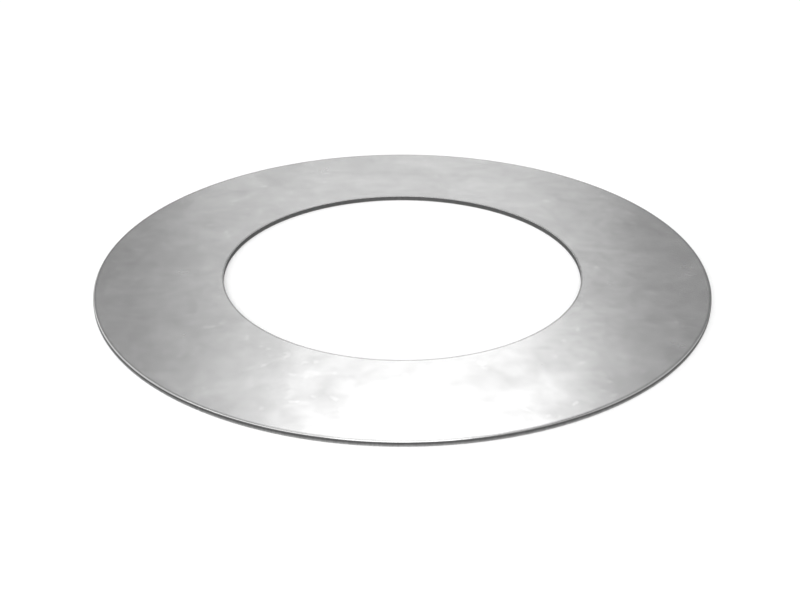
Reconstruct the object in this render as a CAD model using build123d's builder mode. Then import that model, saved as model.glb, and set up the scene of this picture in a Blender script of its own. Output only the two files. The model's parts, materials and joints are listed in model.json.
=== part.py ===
"""A shim ring: a flat ring blanked from thin cold-rolled steel strip.

It slides over a shaft and fills an axial gap, such as the play beside a ball
bearing. It is one piece, 8 x 14 x 0.1 mm by its nominal size, and it lies on its
lower face: the origin is the centre of that face, and +Z runs up the bore's axis.
Sizes are in millimetres.
"""

import os

from build123d import *

# The ring itself. A shim is made a little larger than its nominal 8 mm in the bore
# and a little smaller than its nominal 14 mm outside, so that it slides over its
# shaft and into its housing.
bore_diameter = 8.126
outside_diameter = 13.86
strip_thickness = 0.11

# The die pulls the strip's upper face down round the rim as it blanks the ring,
# which leaves a rolled edge there. Tumbling takes the burr off the other edges.
rim_roll_radius = 0.030
edge_break_radius = 0.004

with BuildPart() as shim_ring:
    # The blank, cut through the strip in one stroke of the press.
    with BuildSketch(Plane.XY):
        Circle(outside_diameter / 2)
        Circle(bore_diameter / 2, mode=Mode.SUBTRACT)
    extrude(amount=strip_thickness)

    # The four circular edges, two on each face, the bore's before the rim's.
    lower_edges, upper_edges = shim_ring.edges().filter_by(GeomType.CIRCLE).group_by(Axis.Z)
    lower_bore_edge, lower_rim_edge = lower_edges.sort_by(SortBy.RADIUS)
    upper_bore_edge, upper_rim_edge = upper_edges.sort_by(SortBy.RADIUS)

    fillet(upper_rim_edge, radius=rim_roll_radius)
    fillet([lower_bore_edge, lower_rim_edge, upper_bore_edge], radius=edge_break_radius)

shim_ring.part.label = "shim_ring"

os.makedirs("parts", exist_ok=True)
export_step(shim_ring.part, "parts/shim_ring.step")
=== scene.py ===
"""A shim ring of thin cold-rolled steel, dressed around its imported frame.

Lengths in a section's values are in millimetres, as a ring's drawing gives them,
and become metres where they meet the frame.
"""

import json
import math

import bmesh
import bpy
from mathutils import Matrix, Vector


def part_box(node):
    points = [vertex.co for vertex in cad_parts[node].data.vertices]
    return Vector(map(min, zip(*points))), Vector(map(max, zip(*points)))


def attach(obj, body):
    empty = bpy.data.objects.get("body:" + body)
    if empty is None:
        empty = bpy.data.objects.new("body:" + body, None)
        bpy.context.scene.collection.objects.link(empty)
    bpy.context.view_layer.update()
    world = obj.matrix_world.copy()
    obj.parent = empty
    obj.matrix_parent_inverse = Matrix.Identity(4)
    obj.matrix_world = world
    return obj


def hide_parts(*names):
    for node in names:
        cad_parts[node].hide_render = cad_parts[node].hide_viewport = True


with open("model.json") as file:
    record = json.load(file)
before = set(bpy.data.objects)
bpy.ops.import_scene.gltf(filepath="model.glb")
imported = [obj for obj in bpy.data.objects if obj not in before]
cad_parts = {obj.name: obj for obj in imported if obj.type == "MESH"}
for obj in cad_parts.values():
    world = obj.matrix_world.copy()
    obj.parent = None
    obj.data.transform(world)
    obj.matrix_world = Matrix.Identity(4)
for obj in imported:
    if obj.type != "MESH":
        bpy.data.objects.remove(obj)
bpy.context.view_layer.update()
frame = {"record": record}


# ---------------------------------------------------------------- the shim ring
# One flat ring, blanked from cold-rolled steel strip of nominally 0.1 mm in one
# stroke of the press. The die rolls the rim's upper edge and leaves the bore's edge square,
# and a turn in the tumbler takes the burr off both and dulls the mill's shine.

MM = 0.001

low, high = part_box("shim_ring")
mounts = {mount["name"]: mount for mount in frame["record"]["mounts"]}
bore, rim = mounts["bore"], mounts["rim"]

bore_radius = bore["dims"]["r_mm"]
rim_radius = rim["dims"]["r_mm"]
lower_face = low.z / MM
upper_face = high.z / MM

# The rolled edge takes up what the rim's straight wall leaves of the thickness
# above it, and each broken edge takes half of what the bore's wall leaves.
rim_wall_top = rim["pos_m"][2] / MM + rim["dims"]["length_mm"] / 2
roll_radius = upper_face - rim_wall_top
break_radius = (upper_face - lower_face - bore["dims"]["length_mm"]) / 2

TURN_STEPS = 720
FACE_BANDS = 6
ROLL_SEGMENTS = 8
BREAK_SEGMENTS = 3
SAME_SPOT = 1e-4


def ring_edges(mesh, radius, height):
    """The edges that run round the ring at this radius and height."""
    return [
        edge
        for edge in mesh.edges
        if all(
            abs(vert.co.z - height) < SAME_SPOT
            and abs(math.hypot(vert.co.x, vert.co.y) - radius) < SAME_SPOT
            for vert in edge.verts
        )
    ]


def round_over(mesh, edges, radius, segments):
    """Rounds these edges over, with a quarter circle of this radius."""
    bmesh.ops.bevel(
        mesh,
        geom=edges,
        offset=radius,
        offset_type="OFFSET",
        segments=segments,
        profile=0.5,
        affect="EDGES",
        material=-1,
    )


ring_mesh = bmesh.new()
corners = [
    ring_mesh.verts.new((radius, 0, height))
    for radius, height in (
        (bore_radius, lower_face),
        (rim_radius, lower_face),
        (rim_radius, upper_face),
        (bore_radius, upper_face),
    )
]
section = [ring_mesh.edges.new((corners[i - 1], corners[i])) for i in range(len(corners))]
bmesh.ops.spin(
    ring_mesh,
    geom=corners + section,
    cent=(0, 0, 0),
    axis=(0, 0, 1),
    angle=2 * math.pi,
    steps=TURN_STEPS,
    use_merge=True,
)
bmesh.ops.remove_doubles(ring_mesh, verts=ring_mesh.verts, dist=SAME_SPOT)
bmesh.ops.recalc_face_normals(ring_mesh, faces=ring_mesh.faces)

round_over(ring_mesh, ring_edges(ring_mesh, rim_radius, upper_face), roll_radius, ROLL_SEGMENTS)
broken_edges = [
    edge
    for radius, height in (
        (bore_radius, upper_face),
        (bore_radius, lower_face),
        (rim_radius, lower_face),
    )
    for edge in ring_edges(ring_mesh, radius, height)
]
round_over(ring_mesh, broken_edges, break_radius, BREAK_SEGMENTS)

# The two flat faces are cut into bands, so that no strip of them is long and thin.
spokes = [
    edge
    for edge in ring_mesh.edges
    if abs(edge.verts[0].co.z - edge.verts[1].co.z) < SAME_SPOT
    and edge.calc_length() > (rim_radius - bore_radius) / 2
]
bmesh.ops.subdivide_edges(ring_mesh, edges=spokes, cuts=FACE_BANDS - 1, use_grid_fill=True)

# The order of the steels, as the ring's material slots hold them further down.
FACE, BORE_WALL, RIM_WALL, ROLL = range(4)
UPRIGHT = 0.02
for face in ring_mesh.faces:
    face.smooth = True
    tilt = abs(face.normal.z)
    if tilt < UPRIGHT:
        inner = face.calc_center_median().xy.length < (bore_radius + rim_radius) / 2
        face.material_index = BORE_WALL if inner else RIM_WALL
    elif tilt > 1 - UPRIGHT:
        face.material_index = FACE
    else:
        face.material_index = ROLL

shim_mesh = bpy.data.meshes.new("shim_ring_steel")
ring_mesh.to_mesh(shim_mesh)
ring_mesh.free()
shim = bpy.data.objects.new("shim_ring_steel", shim_mesh)
bpy.context.scene.collection.objects.link(shim)

# The large faces decide the shading of the corners that they share with the small
# ones of a rounding. The modifier can't tell areas apart at the ring's real size,
# so it is applied while the mesh is in millimetres.
evenness = shim.modifiers.new("flat_faces_stay_flat", "WEIGHTED_NORMAL")
evenness.mode = "FACE_AREA"
evenness.weight = 100
evenness.thresh = 0.0
bpy.context.view_layer.objects.active = shim
bpy.ops.object.modifier_apply(modifier=evenness.name)
shim_mesh.transform(Matrix.Scale(MM, 4))


def linear(colour):
    """An sRGB hex colour as linear numbers with an alpha of 1."""
    channels = [int(colour[i : i + 2], 16) / 255 for i in (1, 3, 5)]
    return [c / 12.92 if c <= 0.04045 else ((c + 0.055) / 1.055) ** 2.4 for c in channels] + [1.0]


def node(tree, kind, settings=None, **inputs):
    """Adds a node. Settings are its own attributes, and inputs are its sockets' values or links.

    An input is named for its socket, with _ for a space, or _0, _1 ... for its place.
    """
    made = tree.nodes.new(kind)
    for name, value in (settings or {}).items():
        setattr(made, name, value)
    for name, value in inputs.items():
        socket = made.inputs[int(name[1:]) if name[1:].isdigit() else name.replace("_", " ")]
        if isinstance(value, bpy.types.NodeSocket):
            tree.links.new(value, socket)
        else:
            socket.default_value = value
    return made


def steel(name, **values):
    """A new steel in the ring's next slot: its node tree, its shader and its place on the ring."""
    material = bpy.data.materials.new(name)
    material.use_nodes = True
    tree = material.node_tree
    tree.nodes.clear()
    shader = node(tree, "ShaderNodeBsdfPrincipled", Metallic=1.0, **values)
    node(tree, "ShaderNodeOutputMaterial", Surface=shader.outputs["BSDF"])
    shim_mesh.materials.append(material)
    return tree, shader, node(tree, "ShaderNodeTexCoord").outputs["Object"]


def mottle(tree, place, size, first, last, detail=3.0, distortion=0.0, stretch=(1, 1, 1)):
    """A number that wanders from first to last, in patches of this size in millimetres."""
    spread = node(
        tree, "ShaderNodeVectorMath", {"operation": "MULTIPLY"}, _0=place, _1=stretch
    ).outputs[0]
    noise = node(
        tree,
        "ShaderNodeTexNoise",
        Vector=spread,
        Scale=1 / (size * MM),
        Detail=detail,
        Distortion=distortion,
    ).outputs["Fac"]
    return node(
        tree,
        "ShaderNodeMapRange",
        {"clamp": False},
        Value=noise,
        From_Min=0.3,
        From_Max=0.7,
        To_Min=first,
        To_Max=last,
    ).outputs["Result"]


def ease(tree, value, start, end, first=0.0, last=1.0):
    """A number that goes smoothly from first to last as the value goes from start to end."""
    return node(
        tree,
        "ShaderNodeMapRange",
        {"interpolation_type": "SMOOTHSTEP"},
        Value=value,
        From_Min=start,
        From_Max=end,
        To_Min=first,
        To_Max=last,
    ).outputs["Result"]


def shaded(tree, shader, colour, factors):
    """Gives the shader this colour, made lighter or darker by all the factors together."""
    total = factors[0]
    for factor in factors[1:]:
        total = node(
            tree, "ShaderNodeMath", {"operation": "MULTIPLY"}, _0=total, _1=factor
        ).outputs[0]
    toned = node(tree, "ShaderNodeVectorMath", {"operation": "SCALE"}, _0=colour, Scale=total)
    tree.links.new(toned.outputs[0], shader.inputs["Base Color"])


# The two faces: cold-rolled strip, dulled in the tumbler. It is a satin mirror with
# the cloudy stains, small bright flecks and faint streaks that rolling leaves. A thin
# line beside each edge is painted darker, a painted shade of where the edges turn away,
# and the last of the widths below is how far that painted shade reaches onto the face.
CLOUD, PATCH, WISP, FLECK, PAINTED_EDGE_SHADE_WIDTH = 1.5, 0.62, 0.2, 0.24, 0.05
CLOUD_SLICE = 3
STREAK_STRETCH = (0.12, 1, 1)
WAVE_HEIGHT = 0.0008

tree, shader, place = steel("cold_rolled_and_tumbled_steel")
flat = node(
    tree, "ShaderNodeVectorMath", {"operation": "MULTIPLY"}, _0=place, _1=(1, 1, 0)
).outputs[0]
radius = node(tree, "ShaderNodeVectorMath", {"operation": "LENGTH"}, _0=flat).outputs["Value"]
slice_place = node(
    tree, "ShaderNodeVectorMath", {"operation": "ADD"}, _0=place, _1=(0, 0, CLOUD_SLICE * MM)
).outputs[0]
specks = node(
    tree, "ShaderNodeTexNoise", Vector=place, Scale=1 / (FLECK * MM), Detail=1.0
).outputs["Fac"]
flat_edge = rim_radius - roll_radius
shaded(
    tree,
    shader,
    linear("#cbcbcb")[:3],
    [
        mottle(tree, slice_place, CLOUD, 0.92, 1.08, distortion=0.4),
        mottle(tree, place, PATCH, 0.945, 1.055, detail=4.0, distortion=0.5),
        mottle(tree, place, WISP, 0.985, 1.015),
        mottle(tree, place, WISP, 0.99, 1.01, stretch=STREAK_STRETCH),
        ease(tree, specks, 0.68, 0.76, 1.0, 1.1),
        # Painted shade: the face's colour falls to 0.4 at the bore's edge and to 0.7 where the
        # rolled edge begins, fading out over a thin line, in place of the shade where these edges
        # turn away.
        ease(tree, radius, bore_radius * MM, (bore_radius + PAINTED_EDGE_SHADE_WIDTH) * MM, 0.4),
        ease(tree, radius, flat_edge * MM, (flat_edge - PAINTED_EDGE_SHADE_WIDTH) * MM, 0.7),
    ],
)
tree.links.new(mottle(tree, place, PATCH, 0.27, 0.22), shader.inputs["Roughness"])
waves = mottle(tree, place, PATCH, 0.0, 1.0, detail=2.0, distortion=0.5)
bump = node(tree, "ShaderNodeBump", Height=waves, Strength=1.0, Distance=WAVE_HEIGHT * MM)
tree.links.new(bump.outputs["Normal"], shader.inputs["Normal"])

# The two cut walls: sheared steel. The tools burnish a land that is scored up
# and down, and below it the steel tears, which leaves it rougher. The land's colour is
# darker than the face's, partly the duller sheared steel and partly painted shade, and
# the torn part below is painted paler, painted light at the wall's foot. The
# scores are drawn coarser than the real ones, which are a few microns wide.
SCORE, SCORE_STRETCH, SCORE_DEPTH = 0.03, (1, 1, 0.08), 0.001
TEAR, TEAR_STRETCH = 0.12, (1, 1, 0.3)


def sheared(name, land_and_painted_shade, painted_pale_foot, torn_and_painted_light_height):
    """The steel of a cut wall that is torn up to about this height. Its land's darker colour is
    partly painted shade, and its torn part's paler colour is painted light.
    """
    tree, shader, place = steel(name)
    height = node(tree, "ShaderNodeSeparateXYZ", Vector=place).outputs["Z"]
    level = node(
        tree,
        "ShaderNodeMath",
        {"operation": "MULTIPLY_ADD"},
        _0=height,
        _1=1 / (torn_and_painted_light_height * MM),
        _2=mottle(tree, place, TEAR, -0.1, 0.1, stretch=TEAR_STRETCH),
    ).outputs[0]
    torn_and_painted_light = ease(tree, level, 1.3, 0.0)
    # Painted shade and light: the land's darker colour above is partly painted shade, and the torn
    # part's paler colour below is painted light at the wall's foot.
    colour = node(
        tree,
        "ShaderNodeMix",
        {"data_type": "RGBA"},
        _0=torn_and_painted_light,
        _6=linear(land_and_painted_shade),
        _7=linear(painted_pale_foot),
    ).outputs[2]
    scores = mottle(tree, place, SCORE, 0.88, 1.12, stretch=SCORE_STRETCH)
    shaded(tree, shader, colour, [scores])
    rough = node(tree, "ShaderNodeMapRange", Value=torn_and_painted_light, To_Min=0.4, To_Max=0.6)
    tree.links.new(rough.outputs["Result"], shader.inputs["Roughness"])
    bump = node(
        tree, "ShaderNodeBump", Height=scores, Strength=1.0, Distance=SCORE_DEPTH * MM
    )
    tree.links.new(bump.outputs["Normal"], shader.inputs["Normal"])


# The punch burnishes nearly the whole bore, and the rim tears over its lower half.
# Each wall's land is painted darker than the face, partly the duller sheared steel and
# partly painted shade. The torn part is painted paler, nearly white on the rim, as
# painted light at the wall's foot.
sheared("pierced_steel", "#a6a6a6", "#b4b4b4", 0.02)
sheared("blanked_steel", "#a6a6a6", "#f2f2f2", 0.06)

# The rounded edges: steel that the die drew smooth and the tumbler polished, which
# gives a thin clean highlight that is a little uneven along the rim.
LONG_WEAR, SHORT_WEAR = 0.45, 0.08

tree, shader, place = steel("burnished_edge_steel", Roughness=0.22)
shaded(
    tree,
    shader,
    linear("#cccccc")[:3],
    [mottle(tree, place, LONG_WEAR, 0.92, 1.08), mottle(tree, place, SHORT_WEAR, 0.96, 1.04)],
)

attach(shim, "root")
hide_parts("shim_ring")


# -------------------------------------------------------------------- the floor
# A wide sheet of white acrylic that the ring lies on, just bright enough to be pure
# white under the softboxes. The steel mirrors the dark under it and not the sheet.

FLOOR_REACH = 3000
FLOOR_SIDES = 128
FLOOR_GAP = 0.001

floor_mesh = bmesh.new()
bmesh.ops.create_circle(
    floor_mesh, cap_ends=True, radius=FLOOR_REACH * MM, segments=FLOOR_SIDES
)
floor_data = bpy.data.meshes.new("floor")
floor_mesh.to_mesh(floor_data)
floor_mesh.free()
floor = bpy.data.objects.new("floor", floor_data)
bpy.context.scene.collection.objects.link(floor)
floor.location.z = low.z - FLOOR_GAP * MM
floor.visible_glossy = False

acrylic = bpy.data.materials.new("lit_white_acrylic")
acrylic.use_nodes = True
tree = acrylic.node_tree
tree.nodes.clear()
shader = node(
    tree,
    "ShaderNodeBsdfPrincipled",
    Base_Color=linear("#f0f0f0"),
    Roughness=0.9,
    Emission_Color=linear("#ffffff"),
    Emission_Strength=0.09,
)
node(tree, "ShaderNodeOutputMaterial", Surface=shader.outputs["BSDF"])
floor_data.materials.append(acrylic)


# ------------------------------------------------------------------- the studio
# A grey room with softboxes a metre from the ring. The tall pair behind it gives
# the face its bright band, and the others light the rim and the other sides.

ROOM_GREY = 0.316
UNDER_GREY = 0.2
UNDER_FADE = 0.3

world = bpy.data.worlds.new("studio")
bpy.context.scene.world = world
world.use_nodes = True
tree = world.node_tree
tree.nodes.clear()
direction = node(tree, "ShaderNodeTexCoord").outputs["Generated"]
height = node(tree, "ShaderNodeSeparateXYZ", Vector=direction).outputs["Z"]
grey = node(
    tree,
    "ShaderNodeMapRange",
    Value=height,
    From_Min=-UNDER_FADE,
    From_Max=0.0,
    To_Min=UNDER_GREY,
    To_Max=ROOM_GREY,
).outputs["Result"]
background = node(tree, "ShaderNodeBackground", Color=grey, Strength=1.0)
node(tree, "ShaderNodeOutputWorld", Surface=background.outputs["Background"])

BOX_DISTANCE = 1000


def softbox(name, azimuth, elevation, width, length, radiance):
    """A rectangular light that faces the ring, seen from it at these angles in degrees.

    Azimuth 0 is straight behind the ring, and the two sizes are in millimetres.
    """
    lamp = bpy.data.lights.new(name, "AREA")
    lamp.shape = "RECTANGLE"
    lamp.size = width * MM
    lamp.size_y = length * MM
    lamp.energy = radiance * math.pi * lamp.size * lamp.size_y
    light = bpy.data.objects.new(name, lamp)
    bpy.context.scene.collection.objects.link(light)
    a, e = math.radians(azimuth), math.radians(elevation)
    towards = Vector((math.sin(a) * math.cos(e), math.cos(a) * math.cos(e), math.sin(e)))
    light.location = towards * BOX_DISTANCE * MM
    light.rotation_euler = towards.to_track_quat("Z", "Y").to_euler()


softbox("back_wide", -0.7, 43.8, 350, 1360, 0.475)
softbox("back_narrow", 1.4, 51.7, 226, 744, 1.992)
softbox("front", 180, 38, 700, 1200, 2.2)
softbox("left", -67, 20, 1600, 1000, 0.75)
softbox("left_front", -125, 38, 900, 900, 1.1)
softbox("right", 85, 22, 1300, 1000, 0.42)
softbox("right_front", 140, 40, 600, 900, 0.32)
softbox("overhead", 0, 90, 800, 800, 0.8)


# ------------------------------------------------------------------- the camera
# A close camera in front of the ring, which looks down on it at a slant. Its
# distance is from the middle of the upper face, and it aims a little nearer.

CAMERA_DISTANCE = 29.42
CAMERA_ELEVATION = math.radians(27.02)
AIM_RIGHT, AIM_BACK = -0.0495, -1.5265
LENS, SENSOR, NEAREST = 57.807, 36, 1

camera_data = bpy.data.cameras.new("camera")
camera_data.lens = LENS
camera_data.sensor_width = SENSOR
camera_data.clip_start = NEAREST * MM
camera = bpy.data.objects.new("camera", camera_data)
bpy.context.scene.collection.objects.link(camera)
middle = Vector((0, 0, upper_face))
towards = Vector((0, -math.cos(CAMERA_ELEVATION), math.sin(CAMERA_ELEVATION)))
camera.location = (middle + towards * CAMERA_DISTANCE) * MM
aim = Vector((AIM_RIGHT, AIM_BACK, upper_face)) * MM
camera.rotation_euler = (aim - camera.location).to_track_quat("-Z", "Y").to_euler()
bpy.context.scene.camera = camera

bpy.context.scene.view_settings.view_transform = "Standard"
